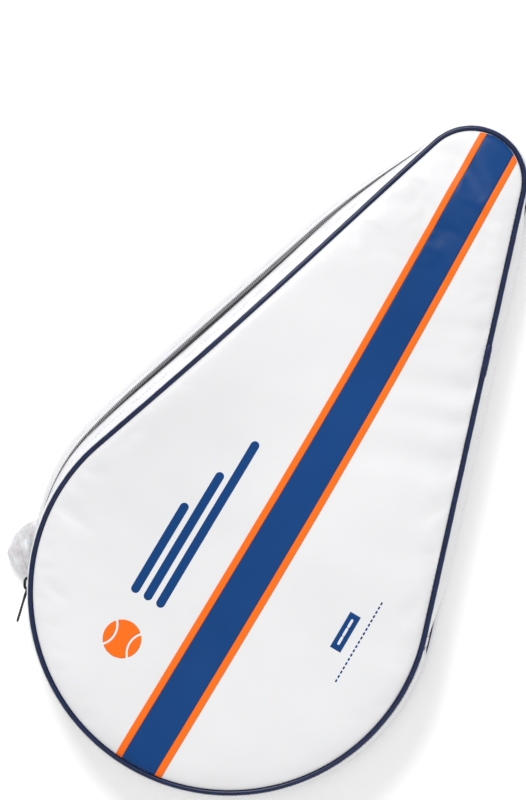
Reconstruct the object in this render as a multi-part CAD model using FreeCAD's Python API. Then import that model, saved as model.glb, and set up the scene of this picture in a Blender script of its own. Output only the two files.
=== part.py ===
import FreeCAD, Part
import math
import os

# Padel racket case: two padded panels of one teardrop outline, joined by a side wall that a
# coil zip splits at mid-depth. The case lies on its back panel, with its mouth part open.
# Millimetres. The origin is on the back panel's outer face, at the centre of the head circle.
# +Y runs along the case to its tip, +X points to the hinge side, +Z points out of the front.

Vector = FreeCAD.Vector
UP = Vector(0, 0, 1)

# ---------------------------------------------------------------- outline
HEAD_RADIUS = 146.0
TIP_RADIUS = 40.5
CASE_LENGTH = 529.0
CASE_DEPTH = 52.0

# ---------------------------------------------------------------- plies of each panel
SKIN_THICKNESS = 1.1
FOAM_THICKNESS = 3.1
LINING_THICKNESS = 0.6
PLY_GAP = 0.1
PIPING_RADIUS = 1.9
PIPING_GAP = 0.1

# ---------------------------------------------------------------- side wall and zip
WALL_THICKNESS = 1.4
WALL_WIDTH = 11.2
TAPE_THICKNESS = 0.8
COIL_THICKNESS = 1.8
COIL_WIDTH = 1.6
ROW_GAP = 1.2
FIT_GAP = 0.2
BINDING_WIDTH = 5.0
BINDING_THICKNESS = 1.0
HINGE_CLEARANCE = 3.6
END_TAB_LENGTH = 7.5
STOP_LENGTH = 2.5

# ---------------------------------------------------------------- the open mouth
MOUTH_LOW_ANGLE = 204.5
MOUTH_TOP_ANGLE = 98.0
FRONT_LIFT = 30.0
LIFT_POWER = 2.2
FRONT_LEAN = 12.5
BACK_SWELL = 19.0
BACK_LEAN = -4.0
SPREAD_LOW = 0.34
SPREAD_TOP = 0.30
SOFT_START = 0.08

# ---------------------------------------------------------------- soft tuck beside the slider
TUCK_REACH = 17.0
TUCK_LENGTH = 43.0
TUCK_LEAD = 5.0
TUCK_LOW = 6.0
TUCK_HIGH = 20.0
TUCK_EDGE = 1.0

# ---------------------------------------------------------------- slider and pull
SLIDER_ANGLE = 208.0
SLIDER_LENGTH = 10.0
SLIDER_HEIGHT = 8.0
PLATE_THICKNESS = 1.4
PLATE_CLEARANCE = 0.8
WEB_THICKNESS = 0.6
BAIL_LENGTH = 10.0
BAIL_RISE = 4.8
BAIL_BAR = 1.4
BAIL_HEIGHT = 1.8
BAIL_ROUND = 2.0
PIVOT_ALONG = 2.4
PIVOT_RISE = 1.8
LOOP_LENGTH = 4.6
LOOP_WIRE = 1.0
LOOP_PLAY = 0.4
TAB_LENGTH = 21.5
TAB_HEIGHT = 7.0
TAB_THICKNESS = 1.6
PULL_ANGLE = 14.0

# ---------------------------------------------------------------- trim on the front panel
BAND_WIDTH = 25.6
BAND_EDGE_WIDTH = 5.2
BAND_THICKNESS = 0.5
BAND_LOW_X = 7.0
BAND_MID_X = 9.0
BAND_TOP_X = 4.4
PRINT_THICKNESS = 0.3
PRINT_BARS = ((-38.0, -35.0, 104.0), (-48.5, -35.0, 72.0), (-59.0, -35.0, 40.0))
PRINT_BAR_WIDTH = 6.5
BALL_CENTRE = (-49.0, -68.0)
BALL_RADIUS = 14.0
BALL_SEAM = 1.6
LABEL_CENTRE = (87.0, 18.0)
LABEL_SIZE = (8.5, 29.0)
LINE_X = 99.0
LINE_WIDTH = 1.4
LINE_LENGTH = 69.0
JOIN_Y = 237.0
JOIN_LENGTH = 24.0
JOIN_WALL = 0.6

# ---------------------------------------------------------------- derived places
TIP_Y = CASE_LENGTH - HEAD_RADIUS - TIP_RADIUS
TAPER = math.asin((HEAD_RADIUS - TIP_RADIUS) / TIP_Y)
SIDE_LENGTH = TIP_Y * math.cos(TAPER)
HEAD_ARC = HEAD_RADIUS * (math.pi + 2 * TAPER)
TIP_ARC = TIP_RADIUS * (math.pi - 2 * TAPER)
LEFT_END = HEAD_ARC + SIDE_LENGTH
TIP_END = LEFT_END + TIP_ARC
GIRTH = TIP_END + SIDE_LENGTH

PANEL_THICKNESS = SKIN_THICKNESS + FOAM_THICKNESS + LINING_THICKNESS + 2 * PLY_GAP
SEAM_OFFSET = -PIPING_RADIUS
PANEL_INSET = 2 * PIPING_RADIUS + PIPING_GAP
BACK_SEAM_Z = PANEL_THICKNESS / 2
FRONT_SEAM_Z = CASE_DEPTH - PANEL_THICKNESS / 2
MID_Z = CASE_DEPTH / 2
WALL_START = PIPING_RADIUS + 0.4
HALF_WALL = MID_Z - ROW_GAP / 2 - BACK_SEAM_Z - WALL_START
COIL_START = HALF_WALL - COIL_WIDTH
TAPE_START = WALL_WIDTH + PLY_GAP
TAPE_END = COIL_START - PLY_GAP

MOUTH_LOW = HEAD_RADIUS * (TAPER + 2 * math.pi - math.radians(MOUTH_LOW_ANGLE))
MOUTH_TOP = LEFT_END + TIP_RADIUS * (math.pi - TAPER - math.radians(MOUTH_TOP_ANGLE))
MOUTH_LOW_Y = HEAD_RADIUS * math.sin(math.radians(MOUTH_LOW_ANGLE))
MOUTH_TOP_Y = TIP_Y + TIP_RADIUS * math.sin(math.radians(MOUTH_TOP_ANGLE))
ZIP_START = END_TAB_LENGTH + FIT_GAP
ZIP_END = TIP_END - ZIP_START
STATION_STEP = 14.0


# ================================================================ geometry helpers
def outline_at(station):
    """Point and outward normal on the outline. Stations run clockwise, as seen from the
    front, from the lower end of the hinge side: head arc, left side, tip arc, hinge side."""
    s = station % GIRTH if station != GIRTH else GIRTH
    if s <= HEAD_ARC:
        angle = TAPER - s / HEAD_RADIUS
        normal = Vector(math.cos(angle), math.sin(angle), 0)
        return normal * HEAD_RADIUS, normal
    tip = Vector(0, TIP_Y, 0)
    if LEFT_END < s <= TIP_END:
        angle = math.pi - TAPER - (s - LEFT_END) / TIP_RADIUS
        normal = Vector(math.cos(angle), math.sin(angle), 0)
        return tip + normal * TIP_RADIUS, normal
    along = Vector(math.sin(TAPER), math.cos(TAPER), 0)
    if s <= LEFT_END:
        normal = Vector(-math.cos(TAPER), math.sin(TAPER), 0)
        return normal * HEAD_RADIUS + along * (s - HEAD_ARC), normal
    normal = Vector(math.cos(TAPER), math.sin(TAPER), 0)
    along = Vector(math.sin(TAPER), -math.cos(TAPER), 0)
    return tip + normal * TIP_RADIUS + along * (s - TIP_END), normal


def place(station, offset, z):
    point, normal = outline_at(station)
    return point + normal * offset + UP * z


def opening_at(y):
    """How far the mouth is open at a height along the case, from 0 to 1."""
    if not MOUTH_LOW_Y < y < MOUTH_TOP_Y:
        return 0.0
    return math.sin(math.pi * (y - MOUTH_LOW_Y) / (MOUTH_TOP_Y - MOUTH_LOW_Y)) ** 2


def eased(share):
    """Rises from 0 to 1 with a soft start, then steeply, then levels off."""
    share = min(max(share, 0.0), 1.0)
    soft = share * share * (1 + SOFT_START) / (share + SOFT_START)
    return math.sin(math.pi / 2 * soft)


def spread_at(station):
    """How far the two walls are pushed apart at a station, eased up from both ends of the
    mouth, from 0 to 1."""
    if not MOUTH_LOW < station < MOUTH_TOP:
        return 0.0
    share = (outline_at(station)[0].y - MOUTH_LOW_Y) / (MOUTH_TOP_Y - MOUTH_LOW_Y)
    return eased(share / SPREAD_LOW) * eased((1 - share) / SPREAD_TOP)


def lift_at(x, y):
    """How far the front panel has risen above its closed place: nothing along the hinge
    side, most along the mouth."""
    reach = HEAD_RADIUS - x * math.cos(TAPER) - y * math.sin(TAPER)
    across = reach / (2 * (HEAD_RADIUS - min(y, TIP_Y) * math.sin(TAPER)))
    return FRONT_LIFT * opening_at(y) * max(across, 0.0) ** LIFT_POWER


def back_wall(station):
    """Foot of the back half of the side wall, and its direction towards the zip."""
    lean = math.asin(BACK_LEAN * spread_at(station) / HALF_WALL)
    foot = (SEAM_OFFSET + BACK_SWELL * spread_at(station), BACK_SEAM_Z + WALL_START)
    return foot, (math.sin(lean), math.cos(lean))


def front_wall(station):
    """Head of the front half of the side wall, and its direction towards the zip."""
    point, normal = outline_at(station)
    seam = point + normal * SEAM_OFFSET
    lean = math.asin(FRONT_LEAN * spread_at(station) / HALF_WALL)
    head = (SEAM_OFFSET, FRONT_SEAM_Z - WALL_START + lift_at(seam.x, seam.y))
    return head, (math.sin(lean), -math.cos(lean))


def strip(wall, start, stop, thickness, inward=0.0):
    """Section of a strip that lies along a wall, from start to stop below its seam."""

    def section(station):
        (offset, z), (out, up) = wall(station)
        side = 1 if up > 0 else -1
        corners = []
        for along, across in ((start, 0.5), (stop, 0.5), (stop, -0.5), (start, -0.5)):
            shift = across * thickness - inward
            corners.append((offset + along * out + shift * side * up,
                            z + along * up - shift * side * out))
        return corners

    return section


def cord(seam, radius):
    """Section of the piping: eight corners around the seam line."""

    def section(station):
        offset, z = seam(station)
        turns = [math.pi / 4 * k for k in range(8)]
        return [(offset + radius * math.cos(t), z + radius * math.sin(t)) for t in turns]

    return section


def back_seam(station):
    return SEAM_OFFSET + BACK_SWELL * spread_at(station), BACK_SEAM_Z


def front_seam(station):
    point, normal = outline_at(station)
    seam = point + normal * SEAM_OFFSET
    return SEAM_OFFSET, FRONT_SEAM_Z + lift_at(seam.x, seam.y)


def spans_between(start, stop):
    """The stretches of the girth between two stations, each an arc, a line or free."""
    marks = ((0.0, MOUTH_LOW, "arc"), (MOUTH_LOW, MOUTH_TOP, "free"),
             (MOUTH_TOP, TIP_END, "arc"), (TIP_END, GIRTH, "line"))
    spans = []
    for low, high, kind in marks:
        a = max(low, start)
        b = min(high, stop)
        if b - a > 0.01:
            spans.append((a, b, kind))
    return spans


def span_edge(point_at, span):
    start, stop, kind = span
    if kind == "line":
        return Part.makeLine(point_at(start), point_at(stop))
    if kind == "arc":
        middle = (start + stop) / 2
        return Part.Arc(point_at(start), point_at(middle), point_at(stop)).toShape()
    count = max(4, round((stop - start) / STATION_STEP))
    points = [point_at(start + (stop - start) * k / count) for k in range(count + 1)]
    curve = Part.BSplineCurve()
    curve.interpolate(Points=points)
    return curve.toShape()


def closed_solid(faces):
    shell = Part.Shell(faces)
    shell.sewShape()
    solid = Part.Solid(shell)
    if solid.Volume < 0:
        solid.reverse()
    return solid


def ring(section, start=0.0, stop=GIRTH):
    """A solid that follows the outline between two stations, with the given section."""
    corner_count = len(section(start))
    faces = []
    for span in spans_between(start, stop):
        edges = []
        for k in range(corner_count):
            edges.append(span_edge(lambda s, k=k: place(s, *section(s)[k]), span))
        for k in range(corner_count):
            faces.append(Part.makeRuledSurface(edges[k], edges[(k + 1) % corner_count]))
    if stop - start < GIRTH - 0.01:
        for station in (start, stop):
            corners = [place(station, *corner) for corner in section(station)]
            faces.append(Part.Face(Part.makePolygon(corners + corners[:1])))
    return closed_solid(faces)


def outline_face(inset, z, swollen):
    def point_at(station):
        swell = BACK_SWELL * spread_at(station) if swollen else 0.0
        return place(station, swell - inset, z)

    edges = [span_edge(point_at, span) for span in spans_between(0.0, GIRTH)]
    return Part.Face(Part.Wire(edges))


def lifted_sheet(z, thickness):
    """A slab as wide as the case that follows the front panel's lift."""
    columns = [-160.0 + 20.0 * k for k in range(17)]
    rows = [-160.0 + (CASE_LENGTH + 40.0) * k / 24 for k in range(25)]
    grid = [[Vector(x, y, z + lift_at(x, y)) for y in rows] for x in columns]
    surface = Part.BSplineSurface()
    surface.interpolate(grid)
    return surface.toShape().extrude(UP * thickness)


def on_front(shape_below, z, thickness):
    """The part of a lifted slab that stands over a flat face."""
    prism = shape_below.extrude(UP * (CASE_DEPTH + 2 * FRONT_LIFT))
    solids = lifted_sheet(z, thickness).common(prism).Solids
    return solids[0] if len(solids) == 1 else Part.makeCompound(solids)


def save(name, shape):
    if not shape.isValid():
        print("NOT VALID", name)
    shape.exportStep("parts/" + name + ".step")
    print(name, len(shape.Solids), round(shape.Volume), "mm3")


# ================================================================ panels
def panel_plies(base):
    """Height and thickness of each ply of a panel, from its lower face up."""
    lining = base + SKIN_THICKNESS + PLY_GAP + FOAM_THICKNESS + PLY_GAP
    return {
        "skin": (base, SKIN_THICKNESS),
        "foam": (base + SKIN_THICKNESS + PLY_GAP, FOAM_THICKNESS),
        "lining": (lining, LINING_THICKNESS),
    }


def make_back_panel():
    for ply, (z, thickness) in panel_plies(0.0).items():
        face = outline_face(PANEL_INSET, z, True)
        save("back_" + ply, face.extrude(UP * thickness))


def make_front_panel():
    base = CASE_DEPTH - PANEL_THICKNESS
    foot = outline_face(PANEL_INSET, 0.0, False)
    foam_z = base + LINING_THICKNESS + PLY_GAP
    save("front_lining", on_front(foot, base, LINING_THICKNESS))
    save("front_foam", on_front(foot, foam_z, FOAM_THICKNESS))
    save("front_skin", on_front(foot, CASE_DEPTH - SKIN_THICKNESS, SKIN_THICKNESS))


def make_piping():
    save("back_piping", ring(cord(back_seam, PIPING_RADIUS)))
    save("front_piping", ring(cord(front_seam, PIPING_RADIUS)))
    top, normal = outline_at(TIP_END)
    along = Vector(math.sin(TAPER), -math.cos(TAPER), 0)
    reach = (top.y - JOIN_Y) / math.cos(TAPER) - JOIN_LENGTH / 2
    start = top + normal * SEAM_OFFSET + along * reach + UP * FRONT_SEAM_Z
    bore = PIPING_RADIUS + PLY_GAP
    sleeve = Part.makeCylinder(bore + JOIN_WALL, JOIN_LENGTH, start, along)
    sleeve = sleeve.cut(Part.makeCylinder(bore, JOIN_LENGTH, start, along))
    beside_panel = outline_face(PANEL_INSET - PLY_GAP, 0.0, False).extrude(UP * 2 * CASE_DEPTH)
    save("piping_join", sleeve.cut(beside_panel))


# ================================================================ side wall and zip
def make_zip_side(side, wall):
    """One half of the split side wall: strip, tape, coil row, seam binding and stops."""
    first, last = ZIP_START, ZIP_END
    save(side + "_gusset", ring(strip(wall, 0.0, WALL_WIDTH, WALL_THICKNESS), first, last))
    tape = strip(wall, TAPE_START, TAPE_END, TAPE_THICKNESS)
    save(side + "_zip_tape", ring(tape, first, last))
    row = strip(wall, COIL_START, HALF_WALL, COIL_THICKNESS)
    row_first = first + STOP_LENGTH + FIT_GAP
    row_last = last - STOP_LENGTH - FIT_GAP
    save(side + "_zip_teeth", ring(row, row_first, row_last))
    stops = [ring(row, first, first + STOP_LENGTH), ring(row, last - STOP_LENGTH, last)]
    save(side + "_zip_stops", Part.makeCompound(stops))
    inward = (WALL_THICKNESS + BINDING_THICKNESS) / 2 + FIT_GAP
    binding = strip(wall, 0.3, BINDING_WIDTH, BINDING_THICKNESS, inward)
    save(side + "_seam_binding", ring(binding, first, last))


def standing_strip(outer, thickness, low, high):
    """Section of an upright strip: outer face at an offset, between two heights."""
    inner = outer - thickness
    return lambda station: [(outer, low), (outer, high), (inner, high), (inner, low)]


def make_hinge_strip():
    low = BACK_SEAM_Z + HINGE_CLEARANCE
    high = FRONT_SEAM_Z - HINGE_CLEARANCE
    outer = SEAM_OFFSET + WALL_THICKNESS / 2
    wall = standing_strip(outer, WALL_THICKNESS, low, high)
    facing_outer = outer - WALL_THICKNESS - PLY_GAP
    facing = standing_strip(facing_outer, LINING_THICKNESS, low, high)
    save("hinge_gusset", ring(wall, TIP_END + PLY_GAP, GIRTH - PLY_GAP))
    save("hinge_facing", ring(facing, TIP_END + PLY_GAP, GIRTH - PLY_GAP))
    save("zip_end_tab", ring(wall, PLY_GAP, END_TAB_LENGTH))
    save("zip_top_tab", ring(wall, TIP_END - END_TAB_LENGTH, TIP_END - PLY_GAP))


def make_tuck():
    """The soft pleat of side wall fabric that stands out just past the slider."""
    first = MOUTH_LOW - TUCK_LEAD
    last = first + TUCK_LENGTH

    def section(station):
        share = math.sin(math.pi * (station - first) / TUCK_LENGTH)
        (offset, _), (out, _) = back_wall(station)
        inner = offset + WALL_THICKNESS / 2 + TUCK_EDGE + TUCK_HIGH * max(out, 0.0)
        reach = inner + TUCK_EDGE + TUCK_REACH * share
        middle = (TUCK_LOW + TUCK_HIGH) / 2
        return [(inner, TUCK_LOW), (reach, middle - TUCK_EDGE), (reach, middle + TUCK_EDGE),
                (inner, TUCK_HIGH)]

    save("gusset_tuck", ring(section, first, last))


# ================================================================ slider and pull
COIL_CENTRE = HEAD_RADIUS + SEAM_OFFSET
OUTER_PLATE = COIL_CENTRE + COIL_THICKNESS / 2 + PLATE_CLEARANCE
INNER_PLATE = COIL_CENTRE - COIL_THICKNESS / 2 - PLATE_CLEARANCE - PLATE_THICKNESS
BAIL_FOOT = OUTER_PLATE + PLATE_THICKNESS


def sector(inner, thickness, z, height, length):
    """A curved plate about the head's axis, centred on the slider."""
    sweep = math.degrees(length / HEAD_RADIUS)
    outer = Part.makeCylinder(inner + thickness, height, UP * z, UP, sweep)
    plate = outer.cut(Part.makeCylinder(inner, height, UP * z, UP, sweep))
    plate.rotate(Vector(), UP, SLIDER_ANGLE - sweep / 2)
    return plate


def slider_frame(along, rise, z):
    """A point beside the slider, from distances along the zip, outward and up."""
    angle = math.radians(SLIDER_ANGLE)
    outward = Vector(math.cos(angle), math.sin(angle), 0)
    tangent = Vector(-math.sin(angle), math.cos(angle), 0)
    return outward * (BAIL_FOOT + rise) + tangent * along + UP * z


def slab(corners, z, height):
    points = [slider_frame(along, rise, z) for along, rise in corners]
    return Part.Face(Part.makePolygon(points + points[:1])).extrude(UP * height)


def make_slider():
    z = MID_Z - SLIDER_HEIGHT / 2
    outer = sector(OUTER_PLATE, PLATE_THICKNESS, z, SLIDER_HEIGHT, SLIDER_LENGTH)
    inner = sector(INNER_PLATE, PLATE_THICKNESS, z, SLIDER_HEIGHT, SLIDER_LENGTH)
    web_low = INNER_PLATE + PLATE_THICKNESS / 2
    web_reach = OUTER_PLATE + PLATE_THICKNESS / 2 - web_low
    web = sector(web_low, web_reach, MID_Z - WEB_THICKNESS / 2, WEB_THICKNESS,
                 SLIDER_LENGTH * 0.7)
    half = BAIL_LENGTH / 2
    sink = PLATE_THICKNESS / 2
    arch_corners = ((-half, -sink), (-half, BAIL_RISE - BAIL_ROUND),
                    (-half + BAIL_ROUND, BAIL_RISE), (half - BAIL_ROUND, BAIL_RISE),
                    (half, BAIL_RISE - BAIL_ROUND), (half, -sink))
    eye_half = half - BAIL_BAR
    eye_top = BAIL_RISE - BAIL_BAR
    eye_corners = ((-eye_half, 0.0), (-eye_half, eye_top), (eye_half, eye_top),
                   (eye_half, 0.0))
    bail_z = MID_Z - BAIL_HEIGHT / 2
    arch = slab(arch_corners, bail_z, BAIL_HEIGHT)
    arch = arch.cut(slab(eye_corners, bail_z - 1.0, BAIL_HEIGHT + 2.0))
    body = outer.fuse(inner).fuse(web).fuse(arch).removeSplitter()
    save("zip_slider", body)


def make_pull():
    angle = math.radians(SLIDER_ANGLE)
    outward = Vector(math.cos(angle), math.sin(angle), 0)
    tangent = Vector(-math.sin(angle), math.cos(angle), 0)
    lean = math.radians(PULL_ANGLE)
    along = tangent * math.cos(lean) + outward * math.sin(lean)
    across = along.cross(UP)
    pivot = slider_frame(PIVOT_ALONG, PIVOT_RISE, MID_Z)

    def block(start, length, width, height):
        corner = pivot + along * start - across * (width / 2) - UP * (height / 2)
        base = [corner, corner + along * length, corner + along * length + across * width,
                corner + across * width]
        return Part.Face(Part.makePolygon(base + base[:1])).extrude(UP * height)

    half = LOOP_WIRE / 2
    eye = BAIL_HEIGHT + 2 * LOOP_PLAY
    loop = block(-half, LOOP_LENGTH + LOOP_WIRE, LOOP_WIRE, eye + 2 * LOOP_WIRE)
    loop = loop.cut(block(half, LOOP_LENGTH - LOOP_WIRE, LOOP_WIRE + 1.0, eye))
    save("pull_loop", loop)
    start = LOOP_LENGTH + half + PLY_GAP
    save("pull_tab", block(start, TAB_LENGTH, TAB_THICKNESS, TAB_HEIGHT))
    print("pull pivot", [round(value, 3) for value in pivot])


# ================================================================ trim on the front panel
def flat_face(points):
    corners = [Vector(x, y, 0) for x, y in points]
    return Part.Face(Part.makePolygon(corners + corners[:1]))


def band_face(left, right):
    """A face between two gentle arcs that run the length of the case."""
    low = -HEAD_RADIUS - 5.0
    middle = (CASE_LENGTH - 2 * HEAD_RADIUS) / 2
    high = CASE_LENGTH - HEAD_RADIUS + 5.0

    def arc(shift):
        low_point = Vector(BAND_LOW_X + shift, low, 0)
        middle_point = Vector(BAND_MID_X + shift, middle, 0)
        return Part.Arc(low_point, middle_point, Vector(BAND_TOP_X + shift, high, 0)).toShape()

    sides = [arc(left), arc(right)]
    ends = []
    for y, x in ((low, BAND_LOW_X), (high, BAND_TOP_X)):
        ends.append(Part.makeLine(Vector(x + left, y, 0), Vector(x + right, y, 0)))
    return Part.Face(Part.Wire([sides[0], ends[1], sides[1], ends[0]]))


def make_band():
    inside = outline_face(PANEL_INSET + PLY_GAP, 0.0, False)
    z = CASE_DEPTH + PLY_GAP
    half = BAND_WIDTH / 2
    save("centre_band", on_front(band_face(-half, half).common(inside), z, BAND_THICKNESS))
    left = band_face(-half - BAND_EDGE_WIDTH, -half - PLY_GAP)
    right = band_face(half + PLY_GAP, half + BAND_EDGE_WIDTH)
    save("band_edge_left", on_front(left.common(inside), z, BAND_THICKNESS))
    save("band_edge_right", on_front(right.common(inside), z, BAND_THICKNESS))


def bar_face(x, low, high, width):
    half = width / 2
    left_low = Vector(x - half, low + half, 0)
    left_high = Vector(x - half, high - half, 0)
    right_low = Vector(x + half, low + half, 0)
    right_high = Vector(x + half, high - half, 0)
    edges = [
        Part.makeLine(left_low, left_high),
        Part.Arc(left_high, Vector(x, high, 0), right_high).toShape(),
        Part.makeLine(right_high, right_low),
        Part.Arc(right_low, Vector(x, low, 0), left_low).toShape(),
    ]
    return Part.Face(Part.Wire(edges))


def make_prints():
    z = CASE_DEPTH + PLY_GAP
    bars = [on_front(bar_face(x, low, high, PRINT_BAR_WIDTH), z, PRINT_THICKNESS)
            for x, low, high in PRINT_BARS]
    save("print_bars", Part.makeCompound(bars))
    centre = Vector(BALL_CENTRE[0], BALL_CENTRE[1], 0)
    disc = Part.Face(Part.Wire(Part.makeCircle(BALL_RADIUS, centre)))
    for side in (-1, 1):
        seam_centre = centre + Vector(side * 1.5 * BALL_RADIUS, 0, 0)
        seam = Part.Face(Part.Wire(Part.makeCircle(BALL_RADIUS + BALL_SEAM, seam_centre)))
        hollow = Part.Face(Part.Wire(Part.makeCircle(BALL_RADIUS, seam_centre)))
        disc = disc.cut(seam.cut(hollow))
    pieces = [on_front(face, z, PRINT_THICKNESS) for face in disc.Faces]
    save("print_ball", Part.makeCompound(pieces))
    x, y = LABEL_CENTRE
    half_x, half_y = LABEL_SIZE[0] / 2, LABEL_SIZE[1] / 2
    label = flat_face(((x - half_x, y - half_y), (x + half_x, y - half_y),
                       (x + half_x, y + half_y), (x - half_x, y + half_y)))
    save("label_patch", on_front(label, z, BAND_THICKNESS))
    line = bar_face(LINE_X, y - LINE_LENGTH / 2, y + LINE_LENGTH / 2, LINE_WIDTH)
    save("print_line", on_front(line, z, PRINT_THICKNESS))


os.makedirs("parts", exist_ok=True)
make_back_panel()
make_front_panel()
make_piping()
make_zip_side("back", back_wall)
make_zip_side("front", front_wall)
make_hinge_strip()
make_tuck()
make_slider()
make_pull()
make_band()
make_prints()
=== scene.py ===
import math

import bmesh
import bpy
import numpy as np
from mathutils import Matrix, Vector, geometry, noise
from mathutils.bvhtree import BVHTree


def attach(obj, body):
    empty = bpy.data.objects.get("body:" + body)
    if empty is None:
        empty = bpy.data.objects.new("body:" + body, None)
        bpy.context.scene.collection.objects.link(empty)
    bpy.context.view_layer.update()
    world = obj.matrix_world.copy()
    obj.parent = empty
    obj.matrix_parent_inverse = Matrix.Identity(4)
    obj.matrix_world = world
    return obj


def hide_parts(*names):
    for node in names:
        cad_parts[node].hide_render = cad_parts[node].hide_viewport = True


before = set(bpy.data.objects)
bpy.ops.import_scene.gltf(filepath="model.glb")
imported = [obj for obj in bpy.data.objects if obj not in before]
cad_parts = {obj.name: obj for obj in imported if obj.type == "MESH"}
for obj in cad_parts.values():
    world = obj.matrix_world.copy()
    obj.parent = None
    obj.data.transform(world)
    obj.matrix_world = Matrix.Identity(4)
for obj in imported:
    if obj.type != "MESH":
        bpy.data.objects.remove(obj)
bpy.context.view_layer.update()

# Padel racket case, lying on its back panel with its mouth part open. Shapes are worked out in
# millimetres, in the frame's own axes, and written to the meshes in metres.
MM = 0.001

# ---- shape of the case
HEAD_RADIUS = 146.0
TIP_RADIUS = 40.5
CASE_LENGTH = 529.0
CASE_DEPTH = 52.0
SKIN = 1.1
FOAM = 3.1
LINING = 0.6
PLY_GAP = 0.1
PIPING_RADIUS = 1.9
WALL = 1.4
WALL_WIDTH = 11.2
TAPE = 0.8
COIL_WIDTH = 1.6
ROW_GAP = 1.2
HINGE_CLEARANCE = 3.6
END_TAB = 7.5
MOUTH_LOW_ANGLE = 204.5
MOUTH_TOP_ANGLE = 98.0
FRONT_LIFT = 30.0
LIFT_POWER = 2.2
FRONT_LEAN = 14.2
FRONT_GATHER = 6.0
BACK_SWELL = 18.5
BACK_LEAN = -4.0
BACK_BULGE = 4.5
FRONT_BULGE = 0.5
CLOSED_BULGE = 2.8
CLOSED_BULGE_EASE = 12.0
HINGE_BULGE = 5.0
HINGE_BULGE_EASE = 45.0
SPREAD_LOW = 0.34
SPREAD_TOP = 0.30
SOFT_START = 0.08
SLIDER_ANGLE = 208.0

TIP_Y = CASE_LENGTH - HEAD_RADIUS - TIP_RADIUS
TAPER = math.asin((HEAD_RADIUS - TIP_RADIUS) / TIP_Y)
SIDE_LENGTH = TIP_Y * math.cos(TAPER)
HEAD_ARC = HEAD_RADIUS * (math.pi + 2 * TAPER)
TIP_ARC = TIP_RADIUS * (math.pi - 2 * TAPER)
LEFT_END = HEAD_ARC + SIDE_LENGTH
TIP_END = LEFT_END + TIP_ARC
GIRTH = TIP_END + SIDE_LENGTH
PANEL = SKIN + FOAM + LINING + 2 * PLY_GAP
SEAM = -PIPING_RADIUS
PANEL_INSET = 2 * PIPING_RADIUS + 0.1
BACK_SEAM_Z = PANEL / 2
FRONT_SEAM_Z = CASE_DEPTH - PANEL / 2
MID_Z = CASE_DEPTH / 2
WALL_START = PIPING_RADIUS + 0.4
HALF_WALL = MID_Z - ROW_GAP / 2 - BACK_SEAM_Z - WALL_START
COIL_START = HALF_WALL - COIL_WIDTH
MOUTH_LOW = HEAD_RADIUS * (TAPER + 2 * math.pi - math.radians(MOUTH_LOW_ANGLE))
MOUTH_TOP = LEFT_END + TIP_RADIUS * (math.pi - TAPER - math.radians(MOUTH_TOP_ANGLE))
MOUTH_LOW_Y = HEAD_RADIUS * math.sin(math.radians(MOUTH_LOW_ANGLE))
MOUTH_TOP_Y = TIP_Y + TIP_RADIUS * math.sin(math.radians(MOUTH_TOP_ANGLE))
ZIP_START = END_TAB + 0.2
ZIP_END = TIP_END - ZIP_START
HINGE_LOW = BACK_SEAM_Z + HINGE_CLEARANCE
HINGE_HEIGHT = FRONT_SEAM_Z - HINGE_CLEARANCE - HINGE_LOW


def outline_at(stations):
    """Points and outward normals on the outline, at stations clockwise from the hinge's
    lower end: head arc, open side, tip arc, hinge side."""
    s = np.mod(np.asarray(stations, float), GIRTH)
    head = TAPER - s / HEAD_RADIUS
    tip = math.pi - TAPER - (s - LEFT_END) / TIP_RADIUS
    left, right = math.pi - TAPER, TAPER
    angle = np.select([s <= HEAD_ARC, s <= LEFT_END, s <= TIP_END], [head, left, tip], right)
    normal = np.stack([np.cos(angle), np.sin(angle)], -1)
    on_tip = s > LEFT_END
    point = normal * np.where(on_tip, TIP_RADIUS, HEAD_RADIUS)[..., None]
    point[..., 1] += np.where(on_tip, TIP_Y, 0.0)
    left_run = np.clip(s - HEAD_ARC, 0, None) * (s <= LEFT_END)
    right_run = np.clip(s - TIP_END, 0, None)
    point[..., 0] += (left_run + right_run) * math.sin(TAPER)
    point[..., 1] += (left_run - right_run) * math.cos(TAPER)
    return point, normal


def inset_of(x, y):
    """Distance of a point inside the outline."""
    x = np.abs(x)
    along = -math.sin(TAPER) * x + math.cos(TAPER) * y
    head = np.hypot(x, y) - HEAD_RADIUS
    tip = np.hypot(x, y - TIP_Y) - TIP_RADIUS
    side = math.cos(TAPER) * x + math.sin(TAPER) * y - HEAD_RADIUS
    return -np.select([along < 0, along > SIDE_LENGTH], [head, tip], side)


def opening_at(y):
    share = np.clip((np.asarray(y, float) - MOUTH_LOW_Y) / (MOUTH_TOP_Y - MOUTH_LOW_Y), 0, 1)
    return np.sin(math.pi * share) ** 2


def eased(share):
    share = np.clip(share, 0.0, 1.0)
    soft = share * share * (1 + SOFT_START) / (share + SOFT_START)
    return np.sin(math.pi / 2 * soft)


def spread_over(y):
    """How far the walls are pushed apart beside the mouth, eased up from both of its ends."""
    share = (np.asarray(y, float) - MOUTH_LOW_Y) / (MOUTH_TOP_Y - MOUTH_LOW_Y)
    return eased(share / SPREAD_LOW) * eased((1 - share) / SPREAD_TOP)


def spread_at(stations):
    s = np.mod(np.asarray(stations, float), GIRTH)
    inside = (s > MOUTH_LOW) & (s < MOUTH_TOP)
    return np.where(inside, spread_over(outline_at(s)[0][..., 1]), 0.0)


def lift_at(x, y):
    reach = HEAD_RADIUS - x * math.cos(TAPER) - y * math.sin(TAPER)
    across = reach / (2 * (HEAD_RADIUS - np.minimum(y, TIP_Y) * math.sin(TAPER)))
    return FRONT_LIFT * opening_at(y) * np.maximum(across, 0.0) ** LIFT_POWER


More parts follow.
